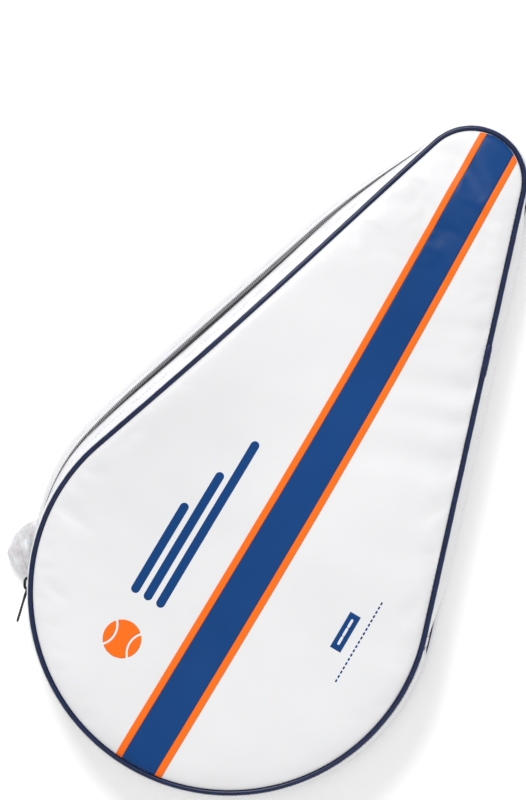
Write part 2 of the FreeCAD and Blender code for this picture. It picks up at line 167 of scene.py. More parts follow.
def gathered(verts):
    """The front cover is drawn towards the hinge where it lifts."""
    share = FRONT_GATHER * lift_at(verts[:, 0], verts[:, 1]) / FRONT_LIFT
    drawn = verts.copy()
    drawn[:, 0] += share * math.cos(TAPER)
    drawn[:, 1] -= share * math.sin(TAPER)
    return drawn


def back_wall(stations):
    """Foot (offset, height) and direction (out, up) of the back half of the side wall."""
    swell = spread_at(stations)
    lean = np.arcsin(BACK_LEAN * swell / HALF_WALL)
    foot = np.stack([SEAM + BACK_SWELL * swell, BACK_SEAM_Z + WALL_START + 0 * swell], -1)
    return foot, np.stack([np.sin(lean), np.cos(lean)], -1)


def front_seam_height(stations):
    point, normal = outline_at(stations)
    seam = point + normal * SEAM
    return FRONT_SEAM_Z + lift_at(seam[..., 0], seam[..., 1])


def back_seam_height(stations):
    return BACK_SEAM_Z + 0 * stations


def front_wall(stations):
    lean = np.arcsin(FRONT_LEAN * spread_at(stations) / HALF_WALL)
    height = front_seam_height(stations) - WALL_START
    return np.stack([SEAM + 0 * height, height], -1), np.stack([np.sin(lean), -np.cos(lean)], -1)


def wall_bulge(stations, along, beside_mouth):
    """How far a wall's cloth billows out between its seam and the zip tape."""
    hump = np.maximum(1 - (2 * np.asarray(along) / WALL_WIDTH - 1) ** 2, 0)
    near_end = eased(np.minimum(stations - ZIP_START, ZIP_END - stations) / CLOSED_BULGE_EASE)
    spread = spread_at(stations)
    return (CLOSED_BULGE * near_end * (1 - spread) + beside_mouth * spread) * hump


def back_bulge(stations, along):
    return wall_bulge(stations, along, BACK_BULGE)


def front_bulge(stations, along):
    return wall_bulge(stations, along, FRONT_BULGE)


def hinge_wall(stations):
    """The hinge strip stands upright between the two panels."""
    flat = np.zeros_like(np.asarray(stations, float))
    return np.stack([flat + SEAM, flat + HINGE_LOW], -1), np.stack([flat, flat + 1.0], -1)


def hinge_bulge(stations, along):
    """How far the hinge strip billows out at mid-height, easing off at both of its ends."""
    hump = np.maximum(1 - (2 * np.asarray(along) / HINGE_HEIGHT - 1) ** 2, 0)
    near_end = np.minimum(stations - TIP_END, GIRTH - stations) / HINGE_BULGE_EASE
    return HINGE_BULGE * eased(near_end) * hump


def in_space(stations, offset, height):
    point, normal = outline_at(stations)
    spot = point[:, None, :] + normal[:, None, :] * offset[..., None]
    return np.concatenate([spot, height[..., None]], -1)


# ---- mesh building
def in_scene(name, data):
    made = bpy.data.objects.new(name, data)
    bpy.context.scene.collection.objects.link(made)
    return made


def make_piece(name, verts, faces, material, uvs=None):
    mesh = bpy.data.meshes.new(name)
    mesh.from_pydata((np.asarray(verts, float) * MM).tolist(), [], faces)
    mesh.validate()
    mesh.polygons.foreach_set("use_smooth", [True] * len(mesh.polygons))
    if uvs is not None:
        layer = mesh.uv_layers.new(name="strip")
        loops = np.zeros(len(mesh.loops), np.int32)
        mesh.loops.foreach_get("vertex_index", loops)
        layer.data.foreach_set("uv", (np.asarray(uvs, float)[loops] * MM).ravel())
    mesh.materials.append(material)
    return in_scene(name, mesh)


def make_solid(name, verts, faces, material, uvs=None):
    """A closed piece, with its faces turned outward."""
    piece = make_piece(name, verts, faces, material, uvs)
    mesh = bmesh.new()
    mesh.from_mesh(piece.data)
    bmesh.ops.recalc_face_normals(mesh, faces=mesh.faces)
    mesh.to_mesh(piece.data)
    mesh.free()
    return piece


def finish_piece(piece, body, slot, *nodes):
    if body == "front_cover":
        flat = np.zeros(len(piece.data.vertices) * 3)
        piece.data.vertices.foreach_get("co", flat)
        drawn = gathered(flat.reshape(-1, 3) / MM) * MM
        piece.data.vertices.foreach_set("co", drawn.ravel())
        piece.data.update()
    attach(piece, body)
    if nodes:
        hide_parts(*nodes)
    return piece


def subdivide(piece):
    modifier = piece.modifiers.new("subdivision", "SUBSURF")
    modifier.levels = 1
    modifier.render_levels = 1
    return piece


def full_turn(count):
    return np.arange(count) * 2 * math.pi / count


def tube_faces(rings, corners, closed=False):
    faces = []
    last = rings if closed else rings - 1
    for i in range(last):
        j = (i + 1) % rings
        for k in range(corners):
            m = (k + 1) % corners
            faces.append((i * corners + k, j * corners + k, j * corners + m, i * corners + m))
    if not closed:
        faces.append(tuple(range(corners)))
        faces.append(tuple(range((rings - 1) * corners, rings * corners))[::-1])
    return faces


def side_faces(loop, count):
    """The faces that join a loop to its copy, whose vertices are numbered count further on."""
    return [(a, b, count + b, count + a) for a, b in zip(loop, loop[1:] + loop[:1])]


def make_tube(name, verts, rings, corners, material, closed=False, uvs=None):
    return make_solid(name, verts, tube_faces(rings, corners, closed), material, uvs)


def strip_profile(start, stop, thickness, steps=6):
    """A flat strip's section with rounded edges, as (along, across) points."""
    half = thickness / 2
    alongs = np.linspace(start + half, stop - half, steps + 1)
    turns = np.linspace(math.pi / 2, -math.pi / 2, 5)[1:-1]
    far = [(stop - half + half * math.cos(t), half * math.sin(t)) for t in turns]
    near = [(start + half - half * math.cos(t), -half * math.sin(t)) for t in turns]
    top = [(a, half) for a in alongs]
    bottom = [(a, -half) for a in alongs[::-1]]
    return np.array(top + far + bottom + near)


def sweep(name, wall, profile, start, stop, material, ripple=None, inward=0.0, step=2.5):
    """A strip that follows a side wall between two stations."""
    count = max(3, int(round((stop - start) / step)) + 1)
    stations = np.linspace(start, stop, count)
    foot, direction = wall(stations)
    side = np.where(direction[:, 1] > 0, 1.0, -1.0)[:, None]
    along = np.repeat(profile[None, :, 0], count, 0)
    across = np.repeat(profile[None, :, 1], count, 0) - inward
    if ripple is not None:
        across = across + ripple(stations[:, None], along)
    out, up = direction[:, :1], direction[:, 1:]
    offset = foot[:, :1] + along * out + across * side * up
    height = foot[:, 1:] + along * up - across * side * out
    verts = in_space(stations, offset, height).reshape(-1, 3)
    length = np.concatenate([[0], np.cumsum(np.hypot(*np.diff(profile, axis=0).T))])
    uvs = np.stack([np.repeat(stations, len(profile)), np.tile(length, count)], -1)
    return make_tube(name, verts, count, len(profile), material, uvs=uvs)


def ripples(size, lengths, seed):
    """A smooth waviness along a strip, strongest at the strip's middle."""
    rng = np.random.default_rng(seed)
    phases = rng.uniform(0, 2 * math.pi, len(lengths))

    def ripple(stations, along):
        wave = sum(np.sin(2 * math.pi * stations / w + p + 0.12 * along)
                   for w, p in zip(lengths, phases)) / len(lengths)
        return size * wave * np.sin(math.pi * np.clip(along / HALF_WALL, 0, 1))

    return ripple


# ---- materials
def new_material(name):
    material = bpy.data.materials.new(name)
    material.use_nodes = True
    tree = material.node_tree
    shader = tree.nodes["Principled BSDF"]
    return material, tree, shader


def feed(tree, target, **values):
    """Sets a node's sockets and settings by name. A socket as the value is linked."""
    for key, value in values.items():
        if isinstance(value, bpy.types.NodeSocket):
            tree.links.new(value, target.inputs[key])
        elif key in target.inputs:
            target.inputs[key].default_value = value
        else:
            setattr(target, key, value)


def node(tree, kind, **values):
    made = tree.nodes.new(kind)
    feed(tree, made, **values)
    return made


def place_on(tree, coordinates="Object"):
    return node(tree, "ShaderNodeTexCoord").outputs[coordinates]


def cloud(tree, place, scale, detail, roughness=0.5):
    made = node(tree, "ShaderNodeTexNoise", Vector=place, Scale=scale, Detail=detail,
                Roughness=roughness)
    return made.outputs["Fac"]


def mapped(tree, source, low, high, first=0.0, last=1.0):
    made = node(tree, "ShaderNodeMapRange", **{"Value": source, "From Min": first,
                "From Max": last, "To Min": low, "To Max": high})
    return made.outputs["Result"]


def ramp(tree, source, low, high, low_place=0.3, high_place=0.7):
    made = tree.nodes.new("ShaderNodeValToRGB")
    made.color_ramp.elements[0].position = low_place
    made.color_ramp.elements[1].position = high_place
    made.color_ramp.elements[0].color = (*low, 1.0)
    made.color_ramp.elements[1].color = (*high, 1.0)
    feed(tree, made, Fac=source)
    return made.outputs["Color"]


def bump(tree, height, strength, distance, below=None):
    made = node(tree, "ShaderNodeBump", Strength=strength, Distance=distance, Height=height)
    if below is not None:
        feed(tree, made, Normal=below)
    return made.outputs["Normal"]


def shade(color, factor):
    return tuple(min(1.0, c * factor) for c in color)


def coated_fabric(name, color, roughness=0.42, grain=1400.0, crease=30.0, depth=1.0, spread=0.05,
                  gloss=0.4):
    """Smooth polyurethane-coated cloth: a fine pebble grain, faint creases and handling marks."""
    material, tree, shader = new_material(name)
    place = place_on(tree)
    pebbles = node(tree, "ShaderNodeTexVoronoi", Vector=place, Scale=grain)
    creases = cloud(tree, place, crease, 4.0, 0.55)
    marks = cloud(tree, place, 9.0, 3.0)
    low, high = shade(color, 1.0 - spread), shade(color, 1.0 + spread * 0.4)
    fine = bump(tree, pebbles.outputs["Distance"], 0.12 * depth, 0.0002)
    feed(tree, shader, **{
        "Base Color": ramp(tree, marks, low, high),
        "Roughness": mapped(tree, creases, roughness - 0.06, roughness + 0.08, 0.3, 0.7),
        "Normal": bump(tree, creases, 0.25 * depth, 0.0012, fine),
        "Specular IOR Level": gloss})
    return material


def woven(name, color, pitch=0.0009, roughness=0.85, coordinates="Object"):
    """Plain-weave cloth, by two crossed waves with a little unevenness. Its colour is painted darker
    between the threads and lighter on their crossings (painted shade and highlight), with a random
    unevenness in tone.
    """
    material, tree, shader = new_material(name)
    place = place_on(tree, coordinates)
    waves = [node(tree, "ShaderNodeTexWave", bands_direction=direction, **{
        "Vector": place, "Scale": 0.314 / pitch, "Distortion": 0.6, "Detail": 1.0,
        "Detail Scale": 1.5}).outputs["Fac"] for direction in ("X", "Y")]
    crossed = node(tree, "ShaderNodeMath", operation="MULTIPLY")
    for wave, socket in zip(waves, crossed.inputs):
        tree.links.new(wave, socket)
    thread_shade_and_tone = node(tree, "ShaderNodeMath", operation="MULTIPLY_ADD")
    thread_shade_and_tone.inputs[1].default_value = 0.6
    tree.links.new(crossed.outputs[0], thread_shade_and_tone.inputs[0])
    tree.links.new(cloud(tree, place, 60.0, 5.0), thread_shade_and_tone.inputs[2])
    # Base colour comes from the same crossed waves as the bump: painted shade between the threads
    # and painted highlight on their crossings, plus random tone from the cloud.
    feed(tree, shader, **{
        "Base Color": ramp(tree, thread_shade_and_tone.outputs[0], shade(color, 0.84), shade(color, 1.08),
                           0.35, 1.0),
        "Roughness": roughness,
        "Sheen Weight": 0.2,
        "Normal": bump(tree, crossed.outputs[0], 0.5, 0.0003)})
    return material


def moulded(name, color, roughness=0.35, metallic=0.0, speckle=900.0, wear=1.6):
    """Moulded plastic, rubber or painted metal, with a faint texture and rubbed patches."""
    material, tree, shader = new_material(name)
    place = place_on(tree)
    patches = cloud(tree, place, 160.0, 4.0, 0.6)
    feed(tree, shader, **{
        "Base Color": ramp(tree, patches, shade(color, 0.8), shade(color, wear), 0.35, 0.8),
        "Roughness": mapped(tree, patches, roughness - 0.08, roughness + 0.12),
        "Metallic": metallic,
        "Specular IOR Level": 0.36,
        "Normal": bump(tree, cloud(tree, place, speckle, 2.0), 0.15, 0.0001)})
    return material


def satin(name, color):
    """Thin shiny lining cloth that lets a little light through. Its colour is painted darker in the
    crease troughs and lighter on the crease ridges: painted shade and highlight.
    """
    material, tree, shader = new_material(name)
    place = place_on(tree)
    creases = cloud(tree, place, 140.0, 5.0, 0.6)
    fine = bump(tree, cloud(tree, place, 1800.0, 2.0), 0.1, 0.0001)
    # Base colour follows the crease noise that also makes the bump: painted crease shade in the
    # troughs, painted highlight on the ridges.
    feed(tree, shader, **{
        "Base Color": ramp(tree, creases, shade(color, 0.72), shade(color, 1.1)),
        "Roughness": 0.32,
        "Sheen Weight": 0.35,
        "Subsurface Weight": 0.15,
        "Normal": bump(tree, creases, 0.5, 0.0012, fine)})
    return material


WHITE = (0.745, 0.745, 0.757)
NAVY = (0.003, 0.011, 0.052)
BLUE = (0.001, 0.046, 0.19)
ORANGE = (0.92, 0.15, 0.006)
LINING_GREY = (0.5, 0.5, 0.54)

white_pu = coated_fabric("white_coated_fabric", WHITE)
wall_pu = coated_fabric("white_wall_fabric", WHITE, roughness=0.5, crease=70.0)
blue_pu = coated_fabric("blue_coated_band", BLUE, roughness=0.4, spread=0.12, gloss=0.2)
orange_pu = coated_fabric("orange_coated_edge", ORANGE, roughness=0.42, gloss=0.2)
blue_ink = coated_fabric("blue_print_film", BLUE, roughness=0.34, spread=0.08, depth=0.7,
                         gloss=0.2)
orange_ink = coated_fabric("orange_print_film", ORANGE, roughness=0.34, depth=0.7, gloss=0.2)
white_ink = coated_fabric("white_print_film", WHITE, roughness=0.4, depth=0.6)
navy_vinyl = moulded("navy_piping_vinyl", NAVY, roughness=0.3, speckle=500.0, wear=1.5)
tape_weave = woven("white_zip_tape", (0.8, 0.8, 0.83), 0.0006, coordinates="UV")
lining_weave = woven("grey_lining_cloth", LINING_GREY, 0.0011)
wall_lining = woven("grey_lining_wall", LINING_GREY, 0.0011, coordinates="UV")
binding_weave = woven("grey_binding_tape", (0.4, 0.4, 0.43), 0.0007, coordinates="UV")
foam_cells = woven("white_foam", (0.7, 0.7, 0.7), 0.002, roughness=0.95)
coil_nylon = moulded("black_coil_nylon", (0.012, 0.012, 0.014), roughness=0.38)
black_enamel = moulded("black_enamel", (0.012, 0.012, 0.013), roughness=0.3, metallic=0.4)
black_rubber = moulded("black_rubber", (0.014, 0.014, 0.015), roughness=0.5)
thread = moulded("white_thread", (0.72, 0.72, 0.76), roughness=0.6, wear=1.1)
tuck_satin = satin("white_satin_cloth", (0.68, 0.68, 0.7))


# ---- camera, lights, floor
LEAN = math.radians(30.6)
LOOK_TILT = math.radians(5.5)
DISTANCE = 4.0
SEEN_HEIGHT = 0.57554
SENSOR = 36.0
TARGET = Vector((-0.0493, 0.1313, 0.051))
LIT_PLACE = Vector((0, 0.12, 0))
FLOOR_REACH = 6.0
FLOOR_GAP = 0.0005


def make_camera():
    """Looks down from far off, so that SEEN_HEIGHT metres fill the picture's height."""
    data = bpy.data.cameras.new("camera")
    camera = in_scene("camera", data)
    toward = Vector((math.sin(LOOK_TILT), 0, math.cos(LOOK_TILT)))
    up = Vector((-math.sin(LEAN), math.cos(LEAN), 0))
    right = up.cross(toward).normalized()
    up = toward.cross(right)
    rotation = Matrix((right, up, toward)).transposed().to_4x4()
    camera.matrix_world = Matrix.Translation(TARGET + toward * DISTANCE) @ rotation
    data.sensor_width = SENSOR
    data.lens = SENSOR * DISTANCE / SEEN_HEIGHT
    data.clip_end = 50.0
    bpy.context.scene.camera = camera


def make_light(name, place, size, power):
    data = bpy.data.lights.new(name, "AREA")
    data.shape = "DISK"
    data.size = size
    data.energy = power
    light = in_scene(name, data)
    light.location = place
    light.rotation_euler = (LIT_PLACE - Vector(place)).to_track_quat("-Z", "Y").to_euler()


def make_stage():
    mesh = bpy.data.meshes.new("floor")
    corners = [(x * FLOOR_REACH, y * FLOOR_REACH, 0)
               for x, y in ((-1, -1), (1, -1), (1, 1), (-1, 1))]
    mesh.from_pydata(corners, [], [(0, 1, 2, 3)])
    material, tree, shader = new_material("pale_floor")
    feed(tree, shader, **{"Base Color": (0.95, 0.95, 0.95, 1), "Emission Color": (1, 1, 1, 1),
                          "Emission Strength": 0.14, "Roughness": 0.9})
    mesh.materials.append(material)
    floor = in_scene("floor", mesh)
    floor.location.z = -FLOOR_GAP
    world = bpy.data.worlds.new("studio")
    world.use_nodes = True
    feed(world.node_tree, world.node_tree.nodes["Background"], Color=(1, 1, 1, 1),
         Strength=0.68)
    bpy.context.scene.world = world
    bpy.context.scene.view_settings.view_transform = "Standard"
    make_light("key", (-1.2, 1.3, 2.0), 1.0, 40)
    make_light("fill", (1.6, -0.6, 1.8), 1.8, 8)


# ---- panels
SPACING = 5.0
ROW_SPACING = SPACING * 0.866
EDGE_RINGS = ((PANEL_INSET, 4.0), (PANEL_INSET + 1.6, 4.0), (PANEL_INSET + 4.0, 4.2))


def panel_layout():
    """Flat triangles that fill the panel: rings along the edge and a staggered grid inside."""
    points = []
    edge_count = 0
    for inset, pitch in EDGE_RINGS:
        count = int(GIRTH / pitch)
        stations = (np.arange(count) + 0.5 * (len(points) > 0)) * GIRTH / count
        at, normal = outline_at(stations)
        points.extend((at - normal * inset).tolist())
        edge_count = edge_count or count
    for row in range(int(CASE_LENGTH / ROW_SPACING) + 1):
        y = -HEAD_RADIUS + row * ROW_SPACING
        for x in np.arange(-HEAD_RADIUS, HEAD_RADIUS, SPACING) + (row % 2) * SPACING / 2:
            if inset_of(np.array(x), np.array(y)) > EDGE_RINGS[-1][0] + 0.7 * SPACING:
                points.append((float(x), y))
    flat = [Vector(p) for p in points]
    result = geometry.delaunay_2d_cdt(flat, [], [list(range(edge_count))], 1, 1e-4)
    verts = np.array([tuple(v) for v in result[0]])
    faces = [tuple(f) for f in result[2]]
    rim = [i for i, origin in enumerate(result[3]) if any(o < edge_count for o in origin)]
    return verts, faces, rim


INNER_Y = 60.0


def rim_loop(rim, verts):
    """The rim's vertices in order around the outline."""
    return sorted(rim, key=lambda i: math.atan2(verts[i][0], verts[i][1] - INNER_Y))


def soft_noise(x, y, size, seed):
    return np.array([noise.noise(Vector((a / size, b / size, seed))) for a, b in zip(x, y)])


CLOTH = {"quality": 6, "mass": 0.4, "tension_stiffness": 30, "compression_stiffness": 30,
         "shear_stiffness": 10, "bending_stiffness": 2.0, "tension_damping": 15,
         "air_damping": 3, "use_pressure": True}
CLOTH_STEPS = 21


def relax(flat, faces, rim, height, slack, pressure, seed):
    """Runs cloth on a panel's skin, held all round its seam, and returns the new heights."""
    rng = np.random.default_rng(seed)
    start = height + rng.normal(0, 0.05, len(flat))
    verts = np.column_stack([flat, start])
    cloth_piece = make_piece("cloth_run", verts, faces, white_pu)
    group = cloth_piece.vertex_groups.new(name="seam")
    group.add([int(i) for i in rim], 1.0, "REPLACE")
    modifier = cloth_piece.modifiers.new("cloth", "CLOTH")
    settings = modifier.settings
    for key, value in CLOTH.items():
        setattr(settings, key, value)
    settings.uniform_pressure_force = pressure
    settings.shrink_min = -slack
    settings.vertex_group_mass = "seam"
    settings.effector_weights.gravity = 0.0
    modifier.collision_settings.use_collision = False
    scene = bpy.context.scene
    for step in range(CLOTH_STEPS):
        scene.frame_set(step + 1)
    shaped = cloth_piece.evaluated_get(bpy.context.evaluated_depsgraph_get())
    moved = np.array([tuple(v.co) for v in shaped.data.vertices])[:, 2] / MM
    scene.frame_set(1)
    bpy.data.objects.remove(cloth_piece)
    return moved


PUCKERS = ((255.0, 8.0, 22.0, 1.8), (214.0, 12.0, 38.0, 3.0), (190.0, 9.0, 28.0, 2.2),
           (161.0, 14.0, 46.0, 2.8), (96.0, 17.0, 40.0, 1.8), (30.0, 15.0, 30.0, 1.2))


def puckers(x, y, inset):
    """Soft gathers that run in from the seam on the hinge side: place, width, length, depth."""
    total = np.zeros(len(x))
    right = x > 0
    for place, width, length, depth in PUCKERS:
        run = (y - place + 0.35 * inset) / width
        shape = (1 - 1.3 * run ** 2) * np.exp(-run ** 2)
        total -= depth * shape * np.exp(-inset / length) * (1 - np.exp(-inset / 3.0)) * right
    return total


def panel_relief(flat, faces, rim, lift, seed, crown, slack, pressure):
    """How far a panel's face stands above its flat or lifted place."""
    x, y = flat[:, 0], flat[:, 1]
    inset = inset_of(x, y) - PANEL_INSET
    swell = crown * (1 - np.exp(-inset / 16.0))
    tucked = -1.0 * np.exp(-inset / 1.8)
    drift = 1.9 * soft_noise(x, y, 85.0, seed) + 0.8 * soft_noise(x, y, 34.0, seed + 3)
    drift *= 1 - np.exp(-inset / 8.0)
    relief = swell + tucked + drift + puckers(x, y, inset)
    moved = relax(flat, faces, rim, lift + relief, slack, pressure, int(seed))
    change = np.clip(moved - lift - relief, -1.2, 2.2)
    relief = relief + change * (1 - np.exp(-inset / 2.5))
    return relief


def make_ply(name, flat, faces, rim, top, thickness, material):
    """A closed sheet with a given face and the same face a thickness lower."""
    count = len(flat)
    upper = np.column_stack([flat, top])
    lower = np.column_stack([flat, top - thickness])
    under = [tuple(count + i for i in face[::-1]) for face in faces]
    loop = rim_loop(rim, flat)
    sides = side_faces(loop, count)
    return make_solid(name, np.vstack([upper, lower]), list(faces) + under + sides, material)


def make_front_panel():
    flat, faces, rim = panel_layout()
    lift = lift_at(flat[:, 0], flat[:, 1])
    relief = panel_relief(flat, faces, rim, lift, 5.0, 2.6, 0.012, 2.5)
    top = CASE_DEPTH + lift + relief
    skin = make_ply("front_skin_cover", flat, faces, rim, top, SKIN, white_pu)
    finish_piece(subdivide(skin), "front_cover", "white_pu", "front_skin")
    foam_top = top - SKIN - PLY_GAP
    lining_top = CASE_DEPTH - PANEL + LINING + lift + 0.3 * relief
    foam = make_ply("front_foam_pad", flat, faces, rim, foam_top,
                    foam_top - lining_top - PLY_GAP, foam_cells)
    finish_piece(foam, "front_cover", "foam", "front_foam")
    lining = make_ply("front_lining_cloth", flat, faces, rim, lining_top, LINING, lining_weave)
    finish_piece(subdivide(lining), "front_cover", "grey_lining", "front_lining")
    verts = [Vector((*p, z)) for p, z in zip(flat, top)]
    return BVHTree.FromPolygons(verts, [list(f) for f in faces])


def make_back_panel():
    flat, faces, rim = panel_layout()
    half_width = HEAD_RADIUS - np.clip(flat[:, 1], 0, TIP_Y) * math.sin(TAPER)
    leftward = np.clip(-flat[:, 0] * math.cos(TAPER) / half_width, 0, 1.1)
    swell = BACK_SWELL * spread_over(flat[:, 1]) * leftward ** 2
    moved = flat.copy()
    moved[:, 0] -= swell * math.cos(TAPER)
    moved[:, 1] += swell * math.sin(TAPER)
    inset = inset_of(flat[:, 0], flat[:, 1]) - PANEL_INSET
    skin_top = SKIN + 0.5 * np.exp(-inset / 2.0)
    skin = make_ply("back_skin_cover", moved, faces, rim, skin_top, SKIN, white_pu)
    finish_piece(subdivide(skin), "back_shell", "white_pu", "back_skin")
    foam_top = np.full(len(flat), SKIN + PLY_GAP + FOAM)
    foam = make_ply("back_foam_pad", moved, faces, rim, foam_top, FOAM - 0.4, foam_cells)
    finish_piece(foam, "back_shell", "foam", "back_foam")
    rise = PANEL + 0.5 * soft_noise(flat[:, 0], flat[:, 1], 40.0, 21.0)
    rise = rise + 0.3 * soft_noise(flat[:, 0], flat[:, 1], 14.0, 27.0)
    lining = make_ply("back_lining_cloth", moved, faces, rim, rise, LINING, lining_weave)
    finish_piece(subdivide(lining), "back_shell", "grey_lining", "back_lining")


# ---- piping
def make_piping(name, seam_height, swell, body, cad_node):
    count = 560
    sides = 14
    stations = np.arange(count) * GIRTH / count
    offset = SEAM + (BACK_SWELL * spread_at(stations) if swell else 0 * stations)
    height = seam_height(stations)
    turns = full_turn(sides)
    rng = np.random.default_rng(11)
    phases = rng.uniform(0, 2 * math.pi, 3)
    wobble = sum(np.sin(2 * math.pi * np.round(GIRTH / w) * stations / GIRTH + p)
                 for w, p in zip((41.0, 17.0, 9.0), phases)) * 0.025
    radius = PIPING_RADIUS * (1 + 0.4 * wobble)[:, None]
    offsets = offset[:, None] + radius * np.cos(turns) + 0.5 * wobble[:, None]
    heights = height[:, None] + radius * np.sin(turns)
    verts = in_space(stations, offsets, heights).reshape(-1, 3)
    piece = make_tube(name, verts, count, sides, navy_vinyl, closed=True)
    finish_piece(piece, body, "navy_piping", cad_node)


# ---- walls and zip
def make_walls():
    for side, wall, body, seed in (("back", back_wall, "back_shell", 31),
                                   ("front", front_wall, "front_cover", 37)):
        ripple = ripples(0.35, (47.0, 23.0, 13.0), seed)
        bulge = back_bulge if side == "back" else front_bulge

        def wave(stations, along):
            return ripple(stations, along) + bulge(stations, along)

        gusset = sweep(side + "_gusset_strip", wall, strip_profile(-0.4, WALL_WIDTH, WALL, 8),
                       ZIP_START, ZIP_END, wall_pu, wave)
        finish_piece(gusset, body, "white_pu", side + "_gusset")
        tape = sweep(side + "_tape_strip", wall,
                     strip_profile(WALL_WIDTH - 1.5, COIL_START + 0.5, TAPE - 0.2, 6),
                     ZIP_START, ZIP_END, tape_weave, wave, inward=0.45)
        finish_piece(tape, body, "white_tape", side + "_zip_tape")
        binding = sweep(side + "_binding_tape", wall, strip_profile(0.3, 5.0, 0.9, 4),
                        ZIP_START, ZIP_END, binding_weave, wave, inward=1.4)
        finish_piece(binding, body, "grey_binding", side + "_seam_binding")


def make_hinge():
    start, stop = TIP_END + PLY_GAP, GIRTH - PLY_GAP
    profile = strip_profile(-1.5, HINGE_HEIGHT + 1.5, WALL, 14)
    ripple = ripples(0.5, (83.0, 37.0, 19.0), 43)

    def wave(stations, along):
        return ripple(stations, along) + hinge_bulge(stations, along)

    outer = sweep("hinge_strip_wall", hinge_wall, profile, start, stop, wall_pu, wave)
    finish_piece(outer, "hinge_strip", "white_pu", "hinge_gusset")
    profile = strip_profile(-1.2, HINGE_HEIGHT + 1.2, LINING, 14)
    facing = sweep("hinge_strip_facing", hinge_wall, profile, start, stop, wall_lining, wave,
                   inward=1.15)
    finish_piece(facing, "hinge_strip", "grey_lining", "hinge_facing")
    profile = strip_profile(-1.5, HINGE_HEIGHT + 1.5, WALL + 0.5, 14)
    for name, first, last in (("zip_end_tab", PLY_GAP, END_TAB),
                              ("zip_top_tab", TIP_END - END_TAB, TIP_END - PLY_GAP)):
        tab = sweep(name + "_patch", hinge_wall, profile, first, last, wall_pu, step=1.2)
        finish_piece(tab, "hinge_strip", "white_pu", name)


# ---- zip teeth, stitches, stops
TOOTH_PITCH = 1.45
STOP_ROOM = 2.9


def wall_points(wall, stations, along, across):
    """Points on or off a wall: along from its seam, across outward from its middle."""
    foot, direction = wall(stations)
    side = np.where(direction[:, 1] > 0, 1.0, -1.0)
    offset = foot[:, 0] + along * direction[:, 0] + across * side * direction[:, 1]
    height = foot[:, 1] + along * direction[:, 1] - across * side * direction[:, 0]
    return in_space(stations, offset[:, None], height[:, None])[:, 0]


def wall_axes(wall, stations, along, across):
    """Place and three axes at each station: along the zip, across the wall, to the zip."""
    spot = wall_points(wall, stations, along, across)
    ahead = wall_points(wall, stations + 0.05, along, across) - spot
    outward = wall_points(wall, stations, along, across + 1.0) - spot
    ahead /= np.linalg.norm(ahead, axis=1)[:, None]
    toward = np.cross(ahead, outward)
    down = wall_points(wall, stations, along + 1.0, across) - spot
    toward *= np.sign(np.sum(toward * down, axis=1))[:, None]
    return spot, ahead, outward, toward


def repeat_along(name, template, faces, axes, material):
    """One mesh that holds a copy of a small template at every station."""
    spot, ahead, outward, toward = axes
    local = np.asarray(template, float)
    copies = (spot[:, None] + ahead[:, None] * local[None, :, :1]
              + outward[:, None] * local[None, :, 1:2] + toward[:, None] * local[None, :, 2:3])
    verts = copies.reshape(-1, 3)
    size = len(local)
    every = [tuple(size * k + i for i in face) for k in range(len(spot)) for face in faces]
    return make_solid(name, verts, every, material)


def lathe(profile, sides, scale):
    """A small closed body about its first axis, from (place, radius) pairs."""
    turns = full_turn(sides)
    rings = [[(x * scale[0], r * math.cos(t) * scale[1], r * math.sin(t) * scale[2])
              for t in turns] for x, r in profile]
    verts = [v for ring in rings for v in ring]
    return np.array(verts), tube_faces(len(profile), sides)


def make_teeth(side, wall, body, shift):
    first, last = ZIP_START + STOP_ROOM, ZIP_END - STOP_ROOM
    stations = np.arange(first + shift, last, TOOTH_PITCH)
    profile = [(0.0, 0.55), (0.25, 0.8), (1.3, 0.85), (2.0, 1.0), (2.35, 0.95), (2.6, 0.55)]
    verts, faces = lathe(profile, 8, (1.0, 0.34, 0.75))
    tooth = np.column_stack([verts[:, 1], verts[:, 2], verts[:, 0] - 0.1])
    axes = wall_axes(wall, stations, COIL_START - 0.35, 0.1)
    teeth = repeat_along(side + "_coil_teeth", tooth, faces, axes, coil_nylon)
    finish_piece(teeth, body, "black_coil", side + "_zip_teeth")
    cord_verts = strip_profile(COIL_START - 0.75, COIL_START + 0.05, 1.0, 3)
    core = sweep(side + "_coil_cord", wall, cord_verts, first, last, tape_weave)
    finish_piece(core, body, "white_tape")


def make_stops(side, wall, body):
    stations = np.array([ZIP_START + 1.3, ZIP_END - 1.3])
    verts, faces = lathe([(-1.25, 0.7), (-1.0, 1.0), (1.0, 1.0), (1.25, 0.7)], 12,
                         (1.0, 1.05, 1.15))
    axes = wall_axes(wall, stations, COIL_START + COIL_WIDTH / 2, 0.0)
    stops = repeat_along(side + "_coil_stops", verts, faces, axes, black_enamel)
    finish_piece(stops, body, "black_metal", side + "_zip_stops")


STITCH_PITCH = 3.1


def make_stitches(name, wall, body, along, across, start, stop, bulge):
    stations = np.arange(start, stop, STITCH_PITCH)
    across = across + bulge(stations, along)
    profile = [(-1.15, 0.25), (-0.8, 0.8), (0.0, 1.0), (0.8, 0.8), (1.15, 0.25)]
    verts, faces = lathe(profile, 6, (1.0, 0.2, 0.26))
    axes = wall_axes(wall, stations, along, across)
    stitches = repeat_along(name, verts, faces, axes, thread)
    finish_piece(stitches, body, "white_tape")


